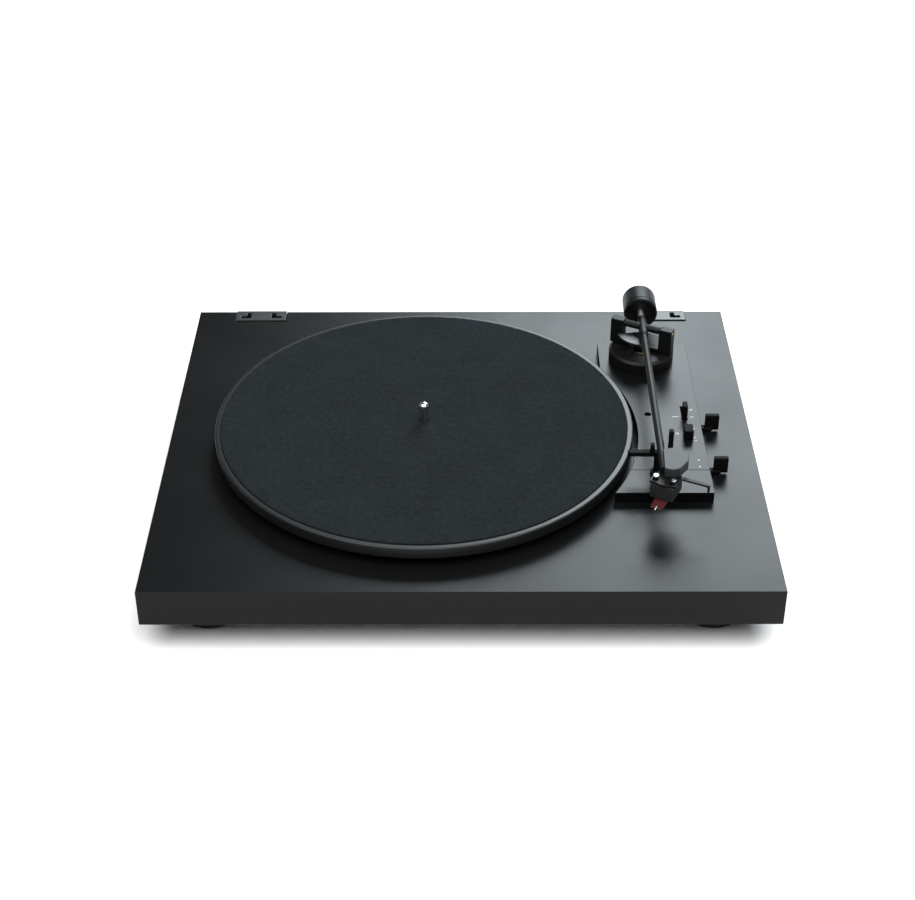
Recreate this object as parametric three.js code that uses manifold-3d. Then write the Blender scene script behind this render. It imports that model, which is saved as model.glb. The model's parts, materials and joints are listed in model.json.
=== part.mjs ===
// A belt-driven automatic turntable: a flat plinth on four feet, a platter with a felt mat,
// and a tonearm with its levers on a raised board. Millimetres, +X right, +Y back, +Z up,
// origin on the floor under the middle of the plinth.
import * as THREE from "three";
import { mergeVertices } from "three/addons/utils/BufferGeometryUtils.js";
import Module from "manifold-3d";

const wasm = await Module();
wasm.setup();

// ---- Driving dimensions ----
const GAP = 0.3; // between two pieces that touch
const RUN = 0.15; // radial clearance of a turning fit
const SLIDE = 0.4; // clearance of a lever in its slot
const PAST = 1; // how far a cut runs past a face
const BITE = 1; // how far joined solids run into each other
const HEXAGON = 6; // sides of a key's socket
const SMALL = 16; // sides of a screw or a small hole
const FINE = 24; // sides of a shaft or a bush
const ROUND = 48; // sides of a ring about the size of a hand
const LARGE = 72; // sides of the platter and its mat
const DEG = Math.PI / 180;

const FOOT = { radius: 21, height: 22, inset: 42, toe: 2 };
const PLINTH = { width: 430, depth: 365, height: 28, top: 12, rim: 30, rebate: 14 };
const BASE = { thick: 1.5, screwRadius: 1.8, headRadius: 4, head: 1.6, inset: 7, bite: 7, rearX: 90 };

const PLATTER = { x: -27, y: -2, radius: 153.5, wall: 5, lift: 6, height: 9, deck: 3.6, lip: 2.4 };
const PLATTER_EDGE = { foot: 1, rim: 1.2, step: 0.4 };
const MAT = { height: 3.1, margin: 4.2, edge: 0.6 };
const SPINDLE = { radius: 4, tip: 3.55, above: 15, round: 2.6, foot: 1, steps: 7 };
const BEARING = { wall: 5, flange: 18, plate: 1.5, floor: 2, lift: 3.5 };
const PAD_HEIGHT = 1.5;
const SUB = { radius: 75, web: 3.2, rim: 4, hub: 11, height: 6.2 };
const BELT = { width: 4, thick: 0.8 };
const MOTOR = { inset: 28.292, at: 135 * DEG, radius: 16.5, height: 21, air: 2, plate: 27, plateHole: 3.2 };
const PULLEY = { radius: 8, shaft: 1.2, flange: 9.6, lower: 0.8, upper: 0.6 };

const BOARD = { right: 178, lap: 22.1, back: 117.6, front: -83, seam: -55.2, height: 8 };
const BOARD_SKIN = 2.5;
const BOARD_WALL = 2;
const SEAM = 0.4;
const PLATTER_AIR = 4; // between the platter and the board's curved side
const CHASSIS = { margin: 8, thick: 2, inset: 6, left: 10 };
const SIGHT_HOLE = { x: 139.8, y: 16.8, radius: 2.5 };

const KEY = { wide: 10.2, thick: 3.8, low: 1.5, high: 14, corner: 1 };
const KEY_ARM = { width: 5, low: 1, height: 2.2 };
const KEY_PIVOT = { x: 140, post: 2, ring: 5 };
const KEY_REACH = 3.5; // from the board's side to the key
const KEY_SWING = 9.8 * DEG;
const LIFT_KEY_Y = 7;
const START_KEY_Y = -48;

const SLOT_X = 166.8;
const SLOT_WIDTH = 3.4;
const SPEED = { y: 13, long: 8, high: 11.5, travel: 9.9 };
const DISC_SIZE = { y: -13, long: 10, wide: 6.6, high: 8, stem: 6, travel: 11.8 };
const SLIDER = { wide: 8, extra: 4, thick: 1.4 };

const ARM = { x: 141, y: 95.5, above: 37, lean: 0.5 * DEG, offset: 26.5 * DEG };
const ARM_BASE = { radius: 25, height: 10.2, chamfer: 1.8 };
const ARM_BUSH = { radius: 9, below: 12, spare: 2 };
const ARM_POST = 4;
const YOKE = { inner: 14.75, outer: 25.25, wide: 7, floor: 3.2, gap: 0.8, over: 3, hub: 7.5 };
const CROSS = { radius: 2.8, pin: 1.4, depth: 4 };
const SLEEVE = { radius: 3.6, front: 14, rear: 12, boreFront: 9, boreRear: 8 };
const TUBE = { radius: 2.7, length: 186 };
const STUB_LENGTH = 51;
const WEIGHT = { radius: 13, length: 24, start: 20, dish: 3, dishWall: 3, face: 2 };
const WEIGHT_EDGE = { front: 0.8, rear: 1.5, grooveAt: 4, grooveDeep: 0.8, grooveWide: 1 };
const PLATFORM = { radius: 19, inner: 8, from: -2, to: 86, thick: 2, gap: 1.3 };
const PLATFORM_STEM = { radius: 2, at: 42, out: 13, up: 1 };

const HEAD = { toHoles: 199.2, holes: 12.7, plate: 2, capRaise: 0.4, cap: 1.6 };
const SCREW = { radius: 1.3, head: 2.1, tall: 1.9, socket: 0.9, socketDeep: 1, bite: 3, hole: 4 };
const FINGER = { width: 3.4, thick: 1.4, out: 30, from: 10.5, hook: 5.5, ahead: 9.5 };
const CARTRIDGE = { wide: 17, back: 13, front: 5, height: 11 };
const STYLUS = { wide: 9, back: 3, heel: 2, keel: 4, rise: 2.2, front: 13.5, nose: 1, lip: 2.4 };
const STYLUS_CLEAR = 0.6;

const REST = { y: -59.5, post: 3, foot: 5, footHigh: 2, barLow: 24, bar: 3.5, depth: 4.4, left: 120 };
const REST_CLIP = { nib: 135.2, nibWide: 2.8, prong: 147.8, prongWide: 3.2, prongTop: 45, gap: 0.8 };

const HINGE = { inner: 143.5, outer: 184.2, deep: 15, plate: 3, proud: 1 };
const HINGE_SLOT = { wide: 3.4, long: 8, at: 3.5 };
const SOCKETS = { left: -72, right: 12, low: 4, high: 23, deep: 11, panel: 2 };
const JACK = { radius: 4.2, flangeThick: 1.2, floor: 2, tail: 4 };
const JACKS = { count: 4, first: 11, step: 14 };
const PHONO = { bore: 1.8, out: 8.5, flange: 5.6 };
const EARTH = { bore: 1, out: 6.5, flange: 5 };
const INLET = { bore: 2.8, out: 3.2, flange: 6.2 };
const CIRCUIT = { long: 70, wide: 34, thick: 1.6, stand: 6, behind: 4, side: 6 };

// ---- Places worked out from them ----
const plinthBottom = FOOT.height;
const plinthTop = plinthBottom + PLINTH.height;
const plinthCeiling = plinthTop - PLINTH.top;
const cavityX = PLINTH.width / 2 - PLINTH.rim;
const cavityY = PLINTH.depth / 2 - PLINTH.rim;
const baseTop = plinthBottom + GAP + BASE.thick;
const boardTop = plinthTop + BOARD.height;
const boardCeiling = boardTop - BOARD_SKIN;
const boardCurve = PLATTER.radius + PLATTER_AIR;
const boardLeft = PLATTER.x + boardCurve - BOARD.lap;
const platterBottom = plinthTop + PLATTER.lift;
const rimTop = platterBottom + PLATTER.height;
const deckTop = rimTop - PLATTER.lip;
const deckBottom = deckTop - PLATTER.deck;
const matBottom = deckTop + GAP;
const matTop = matBottom + MAT.height;
const matRadius = PLATTER.radius - MAT.margin;
const subTop = deckBottom - GAP;
const subBottom = subTop - SUB.height;
const beltBottom = subTop - (SUB.height + BELT.width) / 2;
const bearingBottom = baseTop + BEARING.lift;
const spindleBottom = bearingBottom + BEARING.floor + PAD_HEIGHT + 2 * GAP;
const bearingRadius = SPINDLE.radius + RUN + BEARING.wall;
const motorReach = PLATTER.radius - PLATTER.wall - MOTOR.inset;
const motorX = PLATTER.x + motorReach * Math.cos(MOTOR.at);
const motorY = PLATTER.y + motorReach * Math.sin(MOTOR.at);
const plateTop = plinthTop + GAP + BEARING.plate;
const armZ = plinthTop + ARM.above;
const armBaseTop = boardTop + GAP + ARM_BASE.height;
const yokeBottom = armBaseTop + YOKE.gap;
const yokeFloorTop = yokeBottom + YOKE.floor;
const yokeTop = armZ + YOKE.over;
const platformTop = armZ - SLEEVE.radius - PLATFORM.gap;
const chassisTop = plinthCeiling - GAP;
const keyArmBottom = plinthTop + KEY_ARM.low;
const keyArmTop = keyArmBottom + KEY_ARM.height;
const keyX = BOARD.right + KEY_REACH;
const sliderTop = boardCeiling - SLIDE;
const panelY = PLINTH.depth / 2 - SOCKETS.deep;
const socketZ = plinthBottom + (SOCKETS.low + SOCKETS.high) / 2;

// ---- Materials ----
const finish = (color, roughness, metalness) =>
  new THREE.MeshStandardMaterial({ color, roughness, metalness });
const paint = finish(0x1d1f21, 0.62, 0.0);
const blackMetal = finish(0x1b1c1e, 0.45, 0.6);
const blackPlastic = finish(0x151617, 0.55, 0.0);
const felt = finish(0x222426, 0.98, 0.0);
const rubber = finish(0x101010, 0.9, 0.0);
const steel = finish(0xb9bcc0, 0.3, 1.0);
const zinc = finish(0x8f9398, 0.45, 0.9);
const aluminium = finish(0x2a2c2e, 0.4, 0.8);
const brass = finish(0xb08a45, 0.35, 1.0);
const redPlastic = finish(0x7d1413, 0.4, 0.0);
const greenBoard = finish(0x1f4a33, 0.6, 0.0);
const nylon = finish(0xd8d4c6, 0.6, 0.0);

// ---- Making and placing solids ----
const turntable = new THREE.Group();

function part(name, geometry, material, parent = turntable) {
  const mesh = new THREE.Mesh(geometry, material);
  mesh.name = name;
  parent.add(mesh);
  return mesh;
}

function solid(geometry) {
  const bare = geometry.clone();
  bare.deleteAttribute("normal");
  bare.deleteAttribute("uv");
  const merged = mergeVertices(bare, 1e-4);
  return new wasm.Manifold(
    new wasm.Mesh({
      numProp: 3,
      vertProperties: new Float32Array(merged.attributes.position.array),
      triVerts: new Uint32Array(merged.index.array),
    }),
  );
}

function shapeOf(manifold) {
  const mesh = manifold.getMesh();
  const geometry = new THREE.BufferGeometry();
  geometry.setAttribute("position", new THREE.BufferAttribute(mesh.vertProperties, 3));
  geometry.setIndex(new THREE.BufferAttribute(mesh.triVerts, 1));
  return geometry;
}

const cut = (body, ...tools) =>
  shapeOf(tools.reduce((left, tool) => left.subtract(solid(tool)), solid(body)));

const join = (body, ...others) =>
  shapeOf(others.reduce((whole, other) => whole.add(solid(other)), solid(body)));

// A box given by its lowest and highest corners.
function block(x0, y0, z0, x1, y1, z1) {
  const box = new THREE.BoxGeometry(x1 - x0, y1 - y0, z1 - z0);
  return box.translate((x0 + x1) / 2, (y0 + y1) / 2, (z0 + z1) / 2);
}

// An upright cylinder standing on z0.
function rod(radius, x, y, z0, z1, sides = FINE) {
  const cylinder = new THREE.CylinderGeometry(radius, radius, z1 - z0, sides);
  return cylinder.rotateX(Math.PI / 2).translate(x, y, (z0 + z1) / 2);
}

// A cylinder lying along Y between two values of y.
function bar(radius, x, z, y0, y1, sides = FINE) {
  const cylinder = new THREE.CylinderGeometry(radius, radius, y1 - y0, sides);
  return cylinder.translate(x, (y0 + y1) / 2, z);
}

// A solid of revolution about an upright axis, from [radius, z] points taken anticlockwise.
function turned(points, x = 0, y = 0, sides = FINE) {
  const profile = points.map(([r, z]) => new THREE.Vector2(r, z));
  const onAxis = points[0][0] === 0;
  if (!onAxis) profile.push(profile[0].clone());
  return new THREE.LatheGeometry(profile, sides).rotateX(Math.PI / 2).translate(x, y, 0);
}

// A flat outline raised from z0 to z1.
function raised(shape, z0, z1, curveSegments = 16) {
  const options = { depth: z1 - z0, bevelEnabled: false, curveSegments };
  return new THREE.ExtrudeGeometry(shape, options).translate(0, 0, z0);
}

const outline = (points) => new THREE.Shape(points.map(([x, y]) => new THREE.Vector2(x, y)));

function roundedRect(x0, y0, x1, y1, r) {
  const shape = new THREE.Shape();
  shape.absarc(x1 - r, y0 + r, r, -Math.PI / 2, 0, false);
  shape.absarc(x1 - r, y1 - r, r, 0, Math.PI / 2, false);
  shape.absarc(x0 + r, y1 - r, r, Math.PI / 2, Math.PI, false);
  shape.absarc(x0 + r, y0 + r, r, Math.PI, 1.5 * Math.PI, false);
  return shape;
}

// ---- Plinth, base plate and feet ----
function hingePlate(side, clearance = 0) {
  const xs = [side * (HINGE.inner - clearance), side * (HINGE.outer + clearance)];
  const top = plinthTop + HINGE.proud + clearance;
  const bottom = plinthTop + HINGE.proud - HINGE.plate - clearance;
  const back = PLINTH.depth / 2 - GAP + 2 * clearance;
  const front = PLINTH.depth / 2 - HINGE.deep - clearance;
  return block(Math.min(...xs), front, bottom, Math.max(...xs), back, top);
}

function chassisOpening(clearance = 0) {
  const grow = CHASSIS.inset - clearance;
  return {
    x0: boardLeft + BOARD_WALL + grow + CHASSIS.left,
    x1: BOARD.right - BOARD_WALL - grow,
    y0: BOARD.front + BOARD_WALL + grow,
    y1: BOARD.back - BOARD_WALL - grow,
  };
}

// The base plate's screws bite into the plinth's rim, one in the middle of each side.
const screwX = cavityX + PLINTH.rebate - BASE.inset;
const screwY = cavityY + PLINTH.rebate - BASE.inset;
const screwPlaces = [
  ["left", -screwX, 0],
  ["right", screwX, 0],
  ["front", 0, -screwY],
  ["rear", BASE.rearX, screwY],
];
const screwHoles = () =>
  screwPlaces.map(([, x, y]) => {
    const deep = baseTop + BASE.bite + GAP;
    return rod(BASE.screwRadius + GAP, x, y, plinthBottom - PAST, deep, SMALL);
  });

function makePlinth() {
  const [hx, hy] = [PLINTH.width / 2, PLINTH.depth / 2];
  const slab = block(-hx, -hy, plinthBottom, hx, hy, plinthTop);
  const cavity = block(-cavityX, -cavityY, plinthBottom - PAST, cavityX, cavityY, plinthCeiling);
  const rebateX = cavityX + PLINTH.rebate;
  const rebateY = cavityY + PLINTH.rebate;
  const rebate = block(-rebateX, -rebateY, plinthBottom - PAST, rebateX, rebateY, baseTop + GAP);
  const opening = chassisOpening();
  const armCut = block(opening.x0, opening.y0, plinthBottom, opening.x1, opening.y1, plinthTop + PAST);
  const bearingCut = rod(bearingRadius + GAP, PLATTER.x, PLATTER.y, plinthBottom, plinthTop + PAST);
  const motorCut = rod(MOTOR.radius + MOTOR.air, motorX, motorY, plinthBottom, plinthTop + PAST);
  const low = plinthBottom + SOCKETS.low;
  const high = plinthBottom + SOCKETS.high;
  const socketCut = block(SOCKETS.left, cavityY - PAST, low, SOCKETS.right, hy + PAST, high);
  const hinges = [-1, 1].map((side) => hingePlate(side, GAP));
  return cut(slab, cavity, rebate, armCut, bearingCut, motorCut, socketCut, ...hinges, ...screwHoles());
}
part("plinth", makePlinth(), paint);

function makeBasePlate() {
  const x = cavityX + PLINTH.rebate - GAP;
  const y = cavityY + PLINTH.rebate - GAP;
  const sheet = block(-x, -y, plinthBottom + GAP, x, y, baseTop);
  return cut(sheet, ...screwHoles());
}
part("base_plate", makeBasePlate(), zinc);

function makeBaseScrew(x, y) {
  const points = [
    [0, plinthBottom - BASE.head],
    [BASE.headRadius, plinthBottom - BASE.head],
    [BASE.headRadius, plinthBottom],
    [BASE.screwRadius, plinthBottom],
    [BASE.screwRadius, baseTop + BASE.bite],
    [0, baseTop + BASE.bite],
  ];
  return turned(points, x, y, SMALL);
}
for (const [side, x, y] of screwPlaces) part(`base_screw_${side}`, makeBaseScrew(x, y), zinc);

function makeFoot(x, y) {
  const top = FOOT.height - GAP;
  const points = [
    [0, 0],
    [FOOT.radius - FOOT.toe, 0],
    [FOOT.radius, FOOT.toe],
    [FOOT.radius, top],
    [0, top],
  ];
  return turned(points, x, y);
}
const corners = [
  ["front_left", -1, -1],
  ["front_right", 1, -1],
  ["rear_left", -1, 1],
  ["rear_right", 1, 1],
];
for (const [corner, sx, sy] of corners) {
  const x = sx * (PLINTH.width / 2 - FOOT.inset);
  const y = sy * (PLINTH.depth / 2 - FOOT.inset);
  part(`foot_${corner}`, makeFoot(x, y), rubber);
}

// ---- Sockets for the lid's hinges ----
function makeHingeSocket(side) {
  const y0 = PLINTH.depth / 2 - HINGE.deep + HINGE_SLOT.at;
  const z0 = plinthTop - HINGE.plate;
  const z1 = plinthTop + HINGE.proud + PAST;
  const middle = (HINGE.inner + HINGE.outer) / 2;
  const offset = (HINGE.outer - HINGE.inner) / 4;
  const slots = [-1, 1].flatMap((end) => {
    const x = side * (middle + end * offset);
    const outward = side * end * (HINGE_SLOT.long - HINGE_SLOT.wide);
    const half = HINGE_SLOT.wide / 2;
    const leg = block(x - half, y0, z0, x + half, y0 + HINGE_SLOT.long, z1);
    const [a, b] = [x - half + Math.min(0, outward), x + half + Math.max(0, outward)];
    return [leg, block(a, y0, z0, b, y0 + HINGE_SLOT.wide, z1)];
  });
  return cut(hingePlate(side), ...slots);
}
part("hinge_socket_left", makeHingeSocket(-1), blackPlastic);
part("hinge_socket_right", makeHingeSocket(1), blackPlastic);

// ---- Main bearing, sub-platter and platter ----
function makeBearingHousing() {
  const bore = SPINDLE.radius + RUN;
  const floor = bearingBottom + BEARING.floor;
  return turned(
    [
      [0, bearingBottom],
      [bearingRadius, bearingBottom],
      [bearingRadius, plinthTop + GAP],
      [BEARING.flange, plinthTop + GAP],
      [BEARING.flange, plateTop],
      [bore, plateTop],
      [bore, floor],
      [0, floor],
    ],
    PLATTER.x,
    PLATTER.y,
  );
}
part("bearing_housing", makeBearingHousing(), steel);

const padBottom = bearingBottom + BEARING.floor + GAP;
const padRadius = SPINDLE.radius + RUN - GAP;
part("thrust_pad", rod(padRadius, PLATTER.x, PLATTER.y, padBottom, padBottom + PAD_HEIGHT), nylon);

function makeSpindle() {
  const top = matTop + SPINDLE.above;
  const shoulder = deckBottom - GAP;
  const { tip, round, steps } = SPINDLE;
  const nose = Array.from({ length: steps - 1 }, (_, i) => {
    const a = ((i + 1) / steps) * (Math.PI / 2);
    return [tip * Math.cos(a), top - round + round * Math.sin(a)];
  });
  return turned(
    [
      [0, spindleBottom],
      [SPINDLE.radius - SPINDLE.foot, spindleBottom],
      [SPINDLE.radius, spindleBottom + SPINDLE.foot],
      [SPINDLE.radius, shoulder],
      [SPINDLE.tip, shoulder],
      [SPINDLE.tip, top - SPINDLE.round],
      ...nose,
      [0, top],
    ],
    PLATTER.x,
    PLATTER.y,
  );
}
part("spindle", makeSpindle(), steel);

function makeSubPlatter() {
  const bore = SPINDLE.radius + GAP;
  return turned(
    [
      [bore, subBottom],
      [SUB.hub, subBottom],
      [SUB.hub, subTop - SUB.web],
      [SUB.radius - SUB.rim, subTop - SUB.web],
      [SUB.radius - SUB.rim, subBottom],
      [SUB.radius, subBottom],
      [SUB.radius, subTop],
      [bore, subTop],
    ],
    PLATTER.x,
    PLATTER.y,
    ROUND,
  );
}
part("sub_platter", makeSubPlatter(), blackPlastic);

function makePlatter() {
  const bore = SPINDLE.tip + GAP;
  const wallInside = PLATTER.radius - PLATTER.wall;
  const seat = matRadius + GAP;
  const { radius } = PLATTER;
  const { foot, rim, step } = PLATTER_EDGE;
  return turned(
    [
      [bore, deckBottom],
      [wallInside, deckBottom],
      [wallInside, platterBottom],
      [radius - foot, platterBottom],
      [radius, platterBottom + foot],
      [radius, rimTop - rim],
      [radius - step, rimTop - step],
      [radius - rim, rimTop],
      [seat, rimTop],
      [seat, deckTop],
      [bore, deckTop],
    ],
    PLATTER.x,
    PLATTER.y,
    LARGE,
  );
}
part("platter", makePlatter(), aluminium);

function makeMat() {
  const bore = SPINDLE.tip + GAP;
  return turned(
    [
      [bore, matBottom],
      [matRadius, matBottom],
      [matRadius, matTop - MAT.edge],
      [matRadius - MAT.edge, matTop],
      [bore, matTop],
    ],
    PLATTER.x,
    PLATTER.y,
    LARGE,
  );
}
part("platter_mat", makeMat(), felt);

// ---- Motor, pulley and belt ----
function makeMotorPlate() {
  const disc = rod(MOTOR.plate, motorX, motorY, plinthTop + GAP, plateTop);
  return cut(disc, rod(MOTOR.plateHole, motorX, motorY, plinthTop, plateTop + PAST, SMALL));
}
part("motor_plate", makeMotorPlate(), zinc);

const motorTop = plinthTop;
part("motor", rod(MOTOR.radius, motorX, motorY, motorTop - MOTOR.height, motorTop), zinc);

function makePulley() {
  const { radius, shaft, flange, lower, upper } = PULLEY;
  const [low, high] = [beltBottom - GAP, beltBottom + BELT.width + GAP];
  return turned(
    [
      [0, motorTop + GAP],
      [shaft, motorTop + GAP],
      [shaft, low - lower],
      [flange, low - lower],
      [flange, low],
      [radius, low],
      [radius, high],
      [flange, high],
      [flange, high + upper],
      [0, high + upper],
    ],
    motorX,
    motorY,
  );
}
part("motor_pulley", makePulley(), brass);

// The belt's loop, grown by a distance, round the sub-platter at the origin and the pulley on +X.
function beltLoop(grow, reach, Kind = THREE.Shape) {
  const big = SUB.radius + grow;
  const small = PULLEY.radius + grow;
  const lean = Math.acos((big - small) / reach);
  const loop = new Kind();
  loop.absarc(0, 0, big, lean, 2 * Math.PI - lean, false);
  loop.absarc(reach, 0, small, 2 * Math.PI - lean, 2 * Math.PI + lean, false);
  loop.closePath();
  return loop;
}

function makeBelt() {
  const loop = beltLoop(GAP + BELT.thick, motorReach);
  loop.holes.push(beltLoop(GAP, motorReach, THREE.Path));
  const belt = raised(loop, beltBottom, beltBottom + BELT.width, 20);
  return belt.rotateZ(MOTOR.at).translate(PLATTER.x, PLATTER.y, 0);
}
part("drive_belt", makeBelt(), rubber);

// ---- Raised board beside the platter ----
// Its outline between two values of y, taken in by a wall; the left side follows the platter.
function boardOutline(front, back, inset) {
  const radius = boardCurve + inset;
  const left = boardLeft + inset;
  const right = BOARD.right - inset;
  const [y0, y1] = [front + inset, back - inset];
  const angleAt = (y) => Math.asin((y - PLATTER.y) / radius);
  const leftAngle = Math.acos((left - PLATTER.x) / radius);
  const straight = PLATTER.y + radius * Math.sin(leftAngle) < y1;
  const shape = new THREE.Shape();
  shape.moveTo(right, y0);
  shape.lineTo(right, y1);
  if (straight) shape.lineTo(left, y1);
  const end = straight ? leftAngle : angleAt(y1);
  shape.absarc(PLATTER.x, PLATTER.y, radius, end, angleAt(y0), true);
  shape.closePath();
  return shape;
}

function boardShell(front, back) {
  const shell = raised(boardOutline(front, back, 0), plinthTop + GAP, boardTop);
  const hollow = raised(boardOutline(front, back, BOARD_WALL), plinthTop, boardCeiling);
  return [shell, hollow];
}

// The notch that a key's arm needs in the board's right side over its whole swing.
function keyNotch(y, direction) {
  const reach = (BOARD.right - KEY_PIVOT.x) * Math.sin(KEY_SWING);
  const half = KEY_ARM.width / 2 / Math.cos(KEY_SWING) + SLIDE;
  const [a, b] = [y + Math.min(0, direction * reach) - half, y + Math.max(0, direction * reach) + half];
  const x0 = BOARD.right - BOARD_WALL - PAST;
  return block(x0, a, plinthTop, BOARD.right + PAST, b, keyArmTop + SLIDE);
}

// The slot in the board's top for a sliding lever that is `long` in y and starts at `y`.
function sliderSlot(y, long, travel) {
  const half = SLOT_WIDTH / 2 + SLIDE;
  const [a, b] = [y - long / 2 - SLIDE, y + long / 2 + travel + SLIDE];
  return block(SLOT_X - half, a, boardCeiling - PAST, SLOT_X + half, b, boardTop + PAST);
}

function platformStemPlace() {
  const s = PLATFORM_STEM.at * DEG;
  return [ARM.x - PLATFORM_STEM.out * Math.sin(s), ARM.y - PLATFORM_STEM.out * Math.cos(s)];
}

function makeArmBoard() {
  const [shell, hollow] = boardShell(BOARD.seam + SEAM / 2, BOARD.back);
  const { x, y, radius } = SIGHT_HOLE;
  return cut(
    shell,
    hollow,
    keyNotch(LIFT_KEY_Y, -1),
    keyNotch(START_KEY_Y, 1),
    sliderSlot(SPEED.y, SPEED.long, SPEED.travel),
    sliderSlot(DISC_SIZE.y, DISC_SIZE.stem, DISC_SIZE.travel),
    rod(radius, x, y, plinthTop, boardTop + PAST, SMALL),
    rod(ARM_BUSH.radius + GAP, ARM.x, ARM.y, plinthTop, boardTop + PAST),
  );
}
part("arm_board", makeArmBoard(), paint);
part("arm_board_front", cut(...boardShell(BOARD.front, BOARD.seam - SEAM / 2)), paint);

function makeChassisPlate() {
  const { x0, x1, y0, y1 } = chassisOpening(CHASSIS.margin);
  return block(x0, y0, chassisTop - CHASSIS.thick, x1, y1, chassisTop);
}
part("chassis_plate", makeChassisPlate(), zinc);

// ---- Start and lift levers ----
function makeKeyPost(y) {
  return rod(KEY_PIVOT.post, KEY_PIVOT.x, y, chassisTop + GAP, keyArmTop + GAP);
}
part("lift_lever_post", makeKeyPost(LIFT_KEY_Y), steel);
part("start_lever_post", makeKeyPost(START_KEY_Y), steel);

function makeKeyLever(y) {
  const half = KEY_ARM.width / 2;
  const arm = block(KEY_PIVOT.x, y - half, keyArmBottom, keyX + KEY.wide / 2, y + half, keyArmTop);
  const ring = rod(KEY_PIVOT.ring, KEY_PIVOT.x, y, keyArmBottom, keyArmTop);
  const paddle = roundedRect(keyX, plinthTop + KEY.low, keyX + KEY.wide, plinthTop + KEY.high, KEY.corner);
  const key = raised(paddle, -KEY.thick / 2, KEY.thick / 2, 4).rotateX(Math.PI / 2).translate(0, y, 0);
  const whole = join(arm, ring, key);
  return cut(whole, rod(KEY_PIVOT.post + RUN, KEY_PIVOT.x, y, plinthTop, boardTop));
}
part("lift_lever", makeKeyLever(LIFT_KEY_Y), blackPlastic);
part("start_lever", makeKeyLever(START_KEY_Y), blackPlastic);

// ---- Speed and record-size selectors ----
// A stem through the board's slot, with a wider foot under the board and a grip above it.
function makeSelector(y, stem, grip, gripWide, high) {
  const half = SLOT_WIDTH / 2;
  const foot = stem / 2 + SLIDER.extra / 2;
  const gripBottom = boardTop + GAP;
  const top = boardTop + high;
  return join(
    block(SLOT_X - half, y - stem / 2, sliderTop - BITE, SLOT_X + half, y + stem / 2, gripBottom + BITE),
    block(
      SLOT_X - SLIDER.wide / 2,
      y - foot,
      sliderTop - SLIDER.thick,
      SLOT_X + SLIDER.wide / 2,
      y + foot,
      sliderTop,
    ),
    block(SLOT_X - gripWide / 2, y - grip / 2, gripBottom, SLOT_X + gripWide / 2, y + grip / 2, top),
  );
}
const speedSelector = makeSelector(SPEED.y, SPEED.long, SPEED.long, SLOT_WIDTH, SPEED.high);
part("speed_selector", speedSelector, blackPlastic);
const { stem, long, wide, high } = DISC_SIZE;
part("size_selector", makeSelector(DISC_SIZE.y, stem, long, wide, high), blackPlastic);

// ---- Tonearm base and lift platform ----
function makeArmBase() {
  const bore = ARM_BUSH.radius + GAP;
  const bottom = boardTop + GAP;
  const ring = turned(
    [
      [bore, bottom],
      [ARM_BASE.radius, bottom],
      [ARM_BASE.radius, armBaseTop - ARM_BASE.chamfer],
      [ARM_BASE.radius - ARM_BASE.chamfer, armBaseTop],
      [bore, armBaseTop],
    ],
    ARM.x,
    ARM.y,
    ROUND,
  );
  const [x, y] = platformStemPlace();
  return cut(ring, rod(PLATFORM_STEM.radius + RUN, x, y, bottom - PAST, armBaseTop + PAST, SMALL));
}
part("arm_base", makeArmBase(), blackMetal);

function makeArmBush() {
  const bore = ARM_POST + RUN;
  return turned(
    [
      [bore, plinthTop - ARM_BUSH.below],
      [ARM_BUSH.radius, plinthTop - ARM_BUSH.below],
      [ARM_BUSH.radius, armBaseTop],
      [bore, armBaseTop],
    ],
    ARM.x,
    ARM.y,
  );
}
part("arm_bearing_bush", makeArmBush(), brass);

function makeLiftPlatform() {
  const angle = (swing) => -Math.PI / 2 - swing * DEG;
  const sector = new THREE.Shape();
  sector.absarc(0, 0, PLATFORM.radius, angle(PLATFORM.from), angle(PLATFORM.to), true);
  sector.absarc(0, 0, PLATFORM.inner, angle(PLATFORM.to), angle(PLATFORM.from), false);
  sector.closePath();
  const shelf = raised(sector, platformTop - PLATFORM.thick, platformTop).translate(ARM.x, ARM.y, 0);
  const [x, y] = platformStemPlace();
  const [low, high] = [boardTop + PLATFORM_STEM.up, platformTop - PLATFORM.thick / 2];
  return join(shelf, rod(PLATFORM_STEM.radius, x, y, low, high, SMALL));
}
part("lift_platform", makeLiftPlatform(), blackPlastic);

// ---- Tonearm: everything here hangs from the pivot, with the tube along -Y ----
const arm = new THREE.Group();
arm.position.set(ARM.x, ARM.y, armZ);
arm.rotation.z = -ARM.lean;
turntable.add(arm);

const floorZ = yokeBottom - armZ; // the yoke's underside, from the pivot

function makeYoke() {
  const half = YOKE.wide / 2;
  const [low, top] = [floorZ, yokeTop - armZ];
  const strip = block(-YOKE.outer, -half, low, YOKE.outer, half, yokeFloorTop - armZ);
  const cheeks = [-1, 1].map((side) => {
    const xs = [side * YOKE.inner, side * YOKE.outer];
    return block(Math.min(...xs), -half, low, Math.max(...xs), half, top);
  });
  const hub = rod(YOKE.hub, 0, 0, low, yokeFloorTop - armZ);
  const bracket = join(strip, ...cheeks, hub);
  const reach = YOKE.outer + PAST;
  const hole = rod(CROSS.pin + GAP, 0, 0, -reach, reach, SMALL).rotateY(Math.PI / 2);
  return cut(bracket, hole).rotateZ(-ARM.offset);
}
part("arm_yoke", makeYoke(), blackMetal, arm);
const postBottom = plinthTop - ARM_BUSH.below + ARM_BUSH.spare - armZ;
part("arm_post", rod(ARM_POST, 0, 0, postBottom, floorZ - GAP), steel, arm);

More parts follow.
